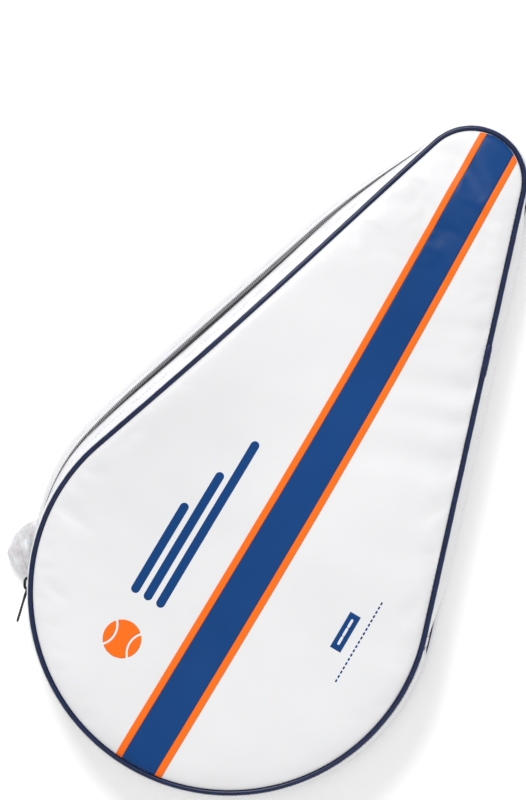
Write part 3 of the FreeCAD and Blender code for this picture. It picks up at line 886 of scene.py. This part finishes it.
def make_zip_details():
    for side, wall, body, shift in (("back", back_wall, "back_shell", 0.0),
                                    ("front", front_wall, "front_cover", TOOTH_PITCH / 2)):
        make_teeth(side, wall, body, shift)
        make_stops(side, wall, body)
        bulge = back_bulge if side == "back" else front_bulge
        for row, along in (("edge", WALL_WIDTH - 1.1), ("seam", 1.6)):
            make_stitches(f"{side}_{row}_stitches", wall, body, along, WALL / 2 + 0.02,
                          ZIP_START + 2, ZIP_END - 2, bulge)
    for row, along in (("lower", 1.2), ("upper", HINGE_HEIGHT - 1.2)):
        make_stitches(f"hinge_{row}_stitches", hinge_wall, "hinge_strip", along,
                      WALL / 2 + 0.1, TIP_END + 2, GIRTH - 2, hinge_bulge)


# ---- trim on the front panel
def surface_height(x, y):
    hit = front_surface.ray_cast(Vector((x, y, 200.0)), Vector((0, 0, -1)))
    return hit[0].z if hit[0] is not None else CASE_DEPTH + float(lift_at(x, y))


def trim_sheet(name, xs, ys, thickness, material):
    """A thin film over a grid of places on the front panel, with rounded-down edges."""
    rows, columns = xs.shape
    top = np.array([[surface_height(a, b) for a, b in zip(r, c)] for r, c in zip(xs, ys)])
    edge = np.zeros(xs.shape, bool)
    edge[0], edge[-1], edge[:, 0], edge[:, -1] = True, True, True, True
    upper = top + np.where(edge, 0.55 * thickness, thickness)
    lower = top - 0.25
    verts = np.concatenate([np.stack([xs, ys, upper], -1).reshape(-1, 3),
                            np.stack([xs, ys, lower], -1).reshape(-1, 3)])
    count = rows * columns
    faces = []
    for i in range(rows - 1):
        for j in range(columns - 1):
            a = i * columns + j
            quad = (a, a + 1, a + columns + 1, a + columns)
            faces.append(quad)
            faces.append(tuple(count + k for k in quad[::-1]))
    loop = list(range(columns))
    loop += [i * columns + columns - 1 for i in range(1, rows)]
    loop += [(rows - 1) * columns + j for j in range(columns - 2, -1, -1)]
    loop += [i * columns for i in range(rows - 2, 0, -1)]
    return make_solid(name, verts, faces + side_faces(loop, count), material)


BAND_WIDTH = 26.0
BAND_EDGE_WIDTH = 5.0
BAND_LOW_X = 7.0
BAND_MID_X = 9.0
BAND_TOP_X = 4.4


def band_centre(y):
    """The band's gentle curve: an arc through three places, as a parabola."""
    low, high = -HEAD_RADIUS - 5.0, CASE_LENGTH - HEAD_RADIUS + 5.0
    share = (y - low) / (high - low)
    bow = BAND_MID_X - (BAND_LOW_X + BAND_TOP_X) / 2
    return BAND_LOW_X + (BAND_TOP_X - BAND_LOW_X) * share + 4 * bow * share * (1 - share)


def band_strip(name, left, right, thickness, material, rows=260, columns=9):
    inset = PANEL_INSET + 0.2
    across = np.linspace(left, right, columns)
    low = -np.sqrt((HEAD_RADIUS - inset) ** 2 - (across + BAND_LOW_X) ** 2)
    high = TIP_Y + np.sqrt((TIP_RADIUS - inset) ** 2 - (across + BAND_TOP_X) ** 2)
    share = np.linspace(0, 1, rows)[:, None]
    ys = low + (high - low) * share
    xs = band_centre(ys) + across * (1.03 - 0.1 * share ** 2)
    return trim_sheet(name, xs, ys, thickness, material)


def make_band():
    half = BAND_WIDTH / 2
    band = band_strip("centre_band_film", -half - 0.6, half + 0.6, 0.3, blue_pu, columns=15)
    finish_piece(band, "front_cover", "blue_band", "centre_band")
    outer = half + BAND_EDGE_WIDTH
    for side, left, right in (("left", -outer, -half), ("right", half, outer)):
        edge = band_strip(f"band_edge_{side}_film", left, right, 0.7, orange_pu)
        finish_piece(edge, "front_cover", "orange_edge", "band_edge_" + side)


def rounded_bar(x, low, high, width, rows):
    """Grid of places that fills a bar with round ends."""
    half = width / 2
    ends = half * (1 - np.cos(np.linspace(0, math.pi / 2, 7)))
    middle = np.linspace(low + half, high - half, rows)[1:-1]
    ys = np.concatenate([low + ends, middle, (high - ends)[::-1]])
    reach = np.minimum(ys - low, high - ys)
    widths = np.sqrt(np.maximum(half ** 2 - np.maximum(half - reach, 0) ** 2, 0.05))
    across = np.linspace(-1, 1, 7)
    return x + widths[:, None] * across, np.repeat(ys[:, None], 7, 1)


PRINT_BARS = ((-38.0, -35.0, 104.0), (-48.5, -35.0, 72.0), (-59.0, -35.0, 40.0))
PRINT_BAR_WIDTH = 6.5
BALL_CENTRE = (-49.0, -68.0)
BALL_RADIUS = 14.0
BALL_SEAM = 1.6
LABEL_CENTRE = (87.0, 18.0)
LABEL_SIZE = (8.5, 29.0)
LINE_X = 99.0
LINE_LENGTH = 69.0
DASH = 2.4
DASH_GAP = 1.15
INK = 0.12


def finish_prints(name, pieces, slot, *nodes):
    """Joins films that are printed or sewn on as one."""
    with bpy.context.temp_override(active_object=pieces[0], selected_editable_objects=pieces):
        bpy.ops.object.join()
    pieces[0].name = name
    finish_piece(pieces[0], "front_cover", slot, *nodes)


def make_bars():
    bars = [trim_sheet(f"print_bar_{k}", *rounded_bar(x, low, high, PRINT_BAR_WIDTH, 40), INK,
                       blue_ink) for k, (x, low, high) in enumerate(PRINT_BARS)]
    finish_prints("print_bars_film", bars, "blue_print", "print_bars")


def make_ball():
    """Three fields of a round, with two curved seams left bare between them."""
    rows = np.linspace(-0.995, 0.995, 34)
    ys = (BALL_CENTRE[1] + BALL_RADIUS * rows)[:, None]
    wide = BALL_RADIUS * np.sqrt(1 - rows ** 2)
    reach = 1.5 * BALL_RADIUS
    dip = np.sqrt((BALL_RADIUS + BALL_SEAM) ** 2 - (BALL_RADIUS * rows) ** 2)
    inner = np.minimum(reach - dip, wide - 0.02)
    xs = BALL_CENTRE[0] + inner[:, None] * np.linspace(-1, 1, 9)
    fields = [trim_sheet("ball_middle", xs, np.repeat(ys, 9, 1), INK, orange_ink)]
    edge = np.minimum(reach - wide, wide)
    inside = edge < wide - 0.05
    low, high = edge[inside][:, None], wide[inside][:, None]
    for side in (-1, 1):
        xs = BALL_CENTRE[0] + side * (low + (high - low) * np.linspace(0, 1, 6))
        fields.append(trim_sheet(f"ball_side_{side + 1}", xs, np.repeat(ys[inside], 6, 1), INK,
                                 orange_ink))
    finish_prints("print_ball_film", fields, "orange_print", "print_ball")


def make_label():
    x, y = LABEL_CENTRE
    width, length = LABEL_SIZE
    xs, ys = np.meshgrid(x + np.linspace(-width / 2, width / 2, 9),
                         y + np.linspace(-length / 2, length / 2, 25))
    label = trim_sheet("label_patch_film", xs, ys, 0.4, blue_ink)
    finish_piece(label, "front_cover", "blue_print", "label_patch")
    marks = [trim_sheet(f"label_mark_{k}", *rounded_bar(x, y + low, y + low + 7.0, 2.2, 6), 0.55,
                        white_ink) for k, low in enumerate((-10.5, -3.5, 3.5))]
    finish_prints("label_marks", marks, "white_pu")


def make_dashed_line():
    pitch = DASH + DASH_GAP
    lows = [LABEL_CENTRE[1] - LINE_LENGTH / 2 + k * pitch for k in range(int(LINE_LENGTH / pitch))]
    dashes = [trim_sheet(f"dash_{k}", *rounded_bar(LINE_X, low, low + DASH, 1.3, 4), 0.1,
                         blue_ink) for k, low in enumerate(lows)]
    finish_prints("print_line_dashes", dashes, "blue_print", "print_line")


# ---- slider and pull
COIL_CENTRE = HEAD_RADIUS + SEAM
PLATE = 1.4
PLATE_PLAY = 0.9 + 0.8
BAIL_FOOT = COIL_CENTRE + PLATE_PLAY + PLATE
PIVOT_ALONG = 2.4
PIVOT_RISE = 1.8
PULL_ANGLE = 14.0
LOOP_LENGTH = 4.6
LOOP_HALF_HEIGHT = 1.85
LOOP_CORNER = 1.1
LOOP_WIRE_RADIUS = 0.7
TAB_START = 4.0
TAB_LENGTH = 22.6
JOIN_Y = 237.0
JOIN_LENGTH = 24.0


def near_slider(points):
    """From (along the zip, outward from the bail's foot, above mid-depth) to the frame."""
    angle = math.radians(SLIDER_ANGLE)
    outward = np.array([math.cos(angle), math.sin(angle), 0.0])
    ahead = np.array([-math.sin(angle), math.cos(angle), 0.0])
    up = np.array([0.0, 0.0, 1.0])
    local = np.asarray(points, float)
    base = outward * BAIL_FOOT + up * MID_Z
    return base + local[:, :1] * ahead + local[:, 1:2] * outward + local[:, 2:3] * up


def bevelled(piece, width):
    modifier = piece.modifiers.new("bevel", "BEVEL")
    modifier.width = width * MM
    modifier.segments = 3
    modifier.limit_method = "ANGLE"
    modifier.angle_limit = math.radians(35)
    return piece


def plate_mesh(name, outline, low, high):
    """A plate with an outline in (along, up) and a thickness outward."""
    count = len(outline)
    verts = [(a, low, u) for a, u in outline] + [(a, high, u) for a, u in outline]
    faces = [tuple(range(count))[::-1], tuple(range(count, 2 * count))]
    faces += side_faces(list(range(count)), count)
    return make_solid(name, near_slider(verts), faces, black_enamel)


def slider_outline():
    """Broad shoulders where the rows part, narrowing to the closed end."""
    half = [(-5.0, 2.2), (-4.4, 3.4), (-3.0, 4.0), (-1.0, 3.9), (1.5, 3.1), (4.2, 2.7), (5.0, 2.0)]
    return half + [(a, -u) for a, u in half[::-1]]


def make_slider():
    inner = -(PLATE + 2 * PLATE_PLAY)
    outer_plate = plate_mesh("slider_outer", slider_outline(), -PLATE, 0.0)
    inner_plate = plate_mesh("slider_inner", slider_outline(), inner - PLATE, inner)
    web = [(-3.4, 0.28), (2.0, 0.28), (3.4, 0.1), (3.4, -0.1), (2.0, -0.28), (-3.4, -0.28)]
    neck = plate_mesh("slider_neck", web, inner - 0.4, -PLATE + 0.4)
    pieces = [bevelled(outer_plate, 0.45), bevelled(inner_plate, 0.4), neck, arch_mesh()]
    finish_piece(join_applied(pieces, "slider_casting"), "slider", "black_metal", "zip_slider")


def join_applied(pieces, name):
    """Joins pieces after their modifiers, so that each keeps its own bevel."""
    graph = bpy.context.evaluated_depsgraph_get()
    joined = bmesh.new()
    for piece in pieces:
        shaped = piece.evaluated_get(graph)
        joined.from_mesh(shaped.to_mesh())
        shaped.to_mesh_clear()
    mesh = bpy.data.meshes.new(name)
    joined.to_mesh(mesh)
    joined.free()
    mesh.materials.append(pieces[0].data.materials[0])
    for piece in pieces:
        bpy.data.objects.remove(piece)
    return in_scene(name, mesh)


def bar_along(name, path, half_out, half_up, closed=False, sides=10):
    """A bar with an oval section that follows a path of (along, outward, up) points."""
    path = np.asarray(path, float)
    count = len(path)
    after = np.roll(path, -1, 0) if closed else np.vstack([path[1:], path[-1:]])
    before = np.roll(path, 1, 0) if closed else np.vstack([path[:1], path[:-1]])
    run = after - before
    run /= np.linalg.norm(run, axis=1)[:, None]
    guide = np.array([0, 0, 1.0]) if abs(run[:, 2]).max() < 0.5 else np.array([0, 1.0, 0])
    first = np.cross(run, guide)
    first /= np.linalg.norm(first, axis=1)[:, None]
    second = np.cross(first, run)
    turns = full_turn(sides)
    verts = (path[:, None] + first[:, None] * (half_out * np.cos(turns))[None, :, None]
             + second[:, None] * (half_up * np.sin(turns))[None, :, None])
    return make_tube(name, near_slider(verts.reshape(-1, 3)), count, sides, black_enamel, closed)


def arch_mesh():
    turns = np.linspace(0, math.pi, 17)
    power = 0.6
    path = [(-4.3 * math.copysign(abs(math.cos(t)) ** power, math.cos(t)),
             -0.6 + 4.7 * math.sin(t) ** power, 0.0) for t in turns]
    return bar_along("slider_bail", path, 1.0, 1.1)


def pull_frame(points):
    """From (out along the pull, across it, up) about the pivot to slider places."""
    lean = math.radians(PULL_ANGLE)
    local = np.asarray(points, float)
    along = local[:, 0] * math.cos(lean) + local[:, 1] * math.sin(lean)
    rise = local[:, 0] * math.sin(lean) - local[:, 1] * math.cos(lean)
    return np.column_stack([PIVOT_ALONG + along, PIVOT_RISE + rise, local[:, 2]])


def rounded_loop(length, height, corner, steps=5):
    """A closed path around a rectangle with round corners, in (out, up)."""
    points = []
    for cx, cy, first in ((length - corner, height - corner, 0), (corner, height - corner, 90),
                          (corner, -height + corner, 180), (length - corner, -height + corner, 270)):
        for k in range(steps + 1):
            t = math.radians(first + 90 * k / steps)
            points.append((cx + corner * math.cos(t), 0.0, cy + corner * math.sin(t)))
    return np.array(points)


def make_pull():
    path = pull_frame(rounded_loop(LOOP_LENGTH, LOOP_HALF_HEIGHT, LOOP_CORNER))
    loop = bar_along("pull_wire_loop", path, LOOP_WIRE_RADIUS, LOOP_WIRE_RADIUS, closed=True)
    finish_piece(loop, "pull", "black_metal", "pull_loop")
    finish_piece(tab_mesh(), "pull", "black_rubber", "pull_tab")


def tab_mesh():
    """A moulded rubber tab: a narrow neck around the loop, a broad grip with ribs."""
    rows, sides = 44, 16
    shares = np.linspace(0, 1, rows)
    out = TAB_START + TAB_LENGTH * shares
    half_up = np.interp(shares, [0, 0.05, 0.16, 0.3, 0.85, 0.96, 1],
                        [1.2, 1.9, 2.1, 3.2, 3.3, 2.6, 1.2])
    ribs = 0.14 * np.sin(2 * math.pi * out / 1.9) * ((shares > 0.42) & (shares < 0.85))
    half_across = np.interp(shares, [0, 0.06, 0.2, 0.35, 0.92, 1],
                            [0.75, 1.0, 0.85, 0.62, 0.7, 0.4]) + ribs
    turns = full_turn(sides)
    across = np.sign(np.cos(turns)) * np.abs(np.cos(turns)) ** 0.5
    up = np.sign(np.sin(turns)) * np.abs(np.sin(turns)) ** 0.5
    verts = []
    for k in range(rows):
        ring = np.column_stack([np.full(sides, out[k]), half_across[k] * across,
                                half_up[k] * up])
        verts.append(near_slider(pull_frame(ring)))
    return subdivide(make_tube("pull_rubber_tab", np.vstack(verts), rows, sides, black_rubber))


# ---- loose tuck and piping join
TUCK_LENGTH = 43.0
TUCK_LEAD = 5.0
TUCK_START = MOUTH_LOW - TUCK_LEAD
PLEAT_SHARE = 0.62


def smoothed(values, width):
    kernel = np.hanning(width) / np.hanning(width).sum()
    return np.convolve(np.pad(values, width // 2, mode="edge"), kernel, mode="valid")


def make_tuck():
    """The loose pleat beside the slider: a flattened pouch of thin satin. Its folds fan out
    from the slider, and a smooth pleat lies over them next to the wall."""
    rows, around = 96, 80
    shares = np.linspace(0.0, 1.0, rows)
    stations = TUCK_START + TUCK_LENGTH * shares
    turns = full_turn(around)
    foot = back_wall(stations)[0]
    inner = foot[:, 0] + WALL / 2 + 0.6
    reach = np.interp(shares, (0.0, 0.07, 0.15, 0.25, 0.36, 0.52, 0.68, 0.85, 1.0),
                      (2.0, 9.0, 15.0, 20.5, 24.0, 20.5, 16.5, 9.5, 1.0))
    reach = smoothed(reach, 13)
    share = 0.5 - 0.5 * np.cos(turns)
    spread = reach[:, None] * share[None, :]
    run = (shares[:, None] + 0.12) * TUCK_LENGTH
    fan = np.arctan2(spread, run)
    folds = np.zeros_like(spread)
    for count, size, phase in ((5.0, 2.6, 0.3), (8.0, 1.5, 1.9), (14.0, 0.6, 0.8)):
        wave = np.sin(count * fan * 1.6 + phase + 2.2 * shares[:, None])
        folds += size * (1 - 2 * np.abs(wave) ** 0.7)
    dome = (reach / reach.max())[:, None]
    thick = (0.6 + 3.4 * dome) * np.sin(turns)[None, :] * (1 - 0.55 * share[None, :])
    height = 13.0 + thick + folds * (0.2 + 0.8 * share[None, :]) * dome
    height = height - 3.0 * dome * share[None, :] ** 2
    edge = 0.9 * dome * np.sin(9.0 * shares[:, None] + 0.6) * share[None, :] ** 3
    verts = in_space(stations, inner[:, None] + spread + edge, height).reshape(-1, 3)
    piece = subdivide(make_tube("gusset_tuck_cloth", verts, rows, around, tuck_satin))
    finish_piece(piece, "back_shell", "soft_satin", "gusset_tuck")


def make_tuck_pleat():
    """The smooth pleat on top of the tuck, which narrows to a fold line at the slider."""
    rows, around = 48, 20
    shares = np.linspace(0.0, PLEAT_SHARE, rows)
    stations = TUCK_START + TUCK_LENGTH * shares
    turns = full_turn(around)
    foot = back_wall(stations)[0]
    part = shares / PLEAT_SHARE
    half = np.interp(part, (0.0, 0.1, 0.32, 0.45, 0.75, 0.94, 1.0),
                     (0.3, 0.7, 0.9, 2.6, 3.4, 2.2, 0.4))
    half = smoothed(half, 7)
    middle = foot[:, 0] + WALL / 2 + 3.0 + 5.6 * part ** 0.7
    rise = 17.0 + 3.0 * np.sin(math.pi * part) ** 0.6
    offset = middle[:, None] + half[:, None] * np.cos(turns)[None, :]
    height = rise[:, None] + (0.45 * half[:, None] + 0.4) * np.sin(turns)[None, :]
    verts = in_space(stations, offset, height).reshape(-1, 3)
    piece = make_tube("gusset_tuck_pleat", verts, rows, around, tuck_satin)
    finish_piece(subdivide(piece), "back_shell", "soft_satin")


def make_piping_join():
    """The sleeve that covers the two ends of the front piping, on the hinge side."""
    top, normal = outline_at(np.array([TIP_END]))
    along = np.array([math.sin(TAPER), -math.cos(TAPER)])
    reach = (top[0, 1] - JOIN_Y) / math.cos(TAPER)
    rows, sides = 30, 18
    shares = np.linspace(-1, 1, rows)
    turns = full_turn(sides)
    radius = 1.95 + 0.5 * (1 - np.abs(shares) ** 8) + 0.05 * np.sin(shares * 17)
    centre = top[0] + normal[0] * SEAM
    verts = []
    for share, size in zip(shares, radius):
        spot = centre + along * (reach + JOIN_LENGTH / 2 * share)
        for t in turns:
            flat = spot + normal[0] * size * math.cos(t)
            verts.append((flat[0], flat[1], FRONT_SEAM_Z + size * math.sin(t)))
    piece = make_tube("piping_join_sleeve", verts, rows, sides, navy_vinyl)
    finish_piece(piece, "front_cover", "navy_piping", "piping_join")


make_camera()
make_stage()
front_surface = make_front_panel()
make_back_panel()
make_piping("front_piping_tube", front_seam_height, False, "front_cover", "front_piping")
make_piping("back_piping_tube", back_seam_height, True, "back_shell", "back_piping")
make_piping_join()
make_walls()
make_hinge()
make_zip_details()
make_tuck()
make_tuck_pleat()
make_slider()
make_pull()
make_band()
make_bars()
make_ball()
make_label()
make_dashed_line()
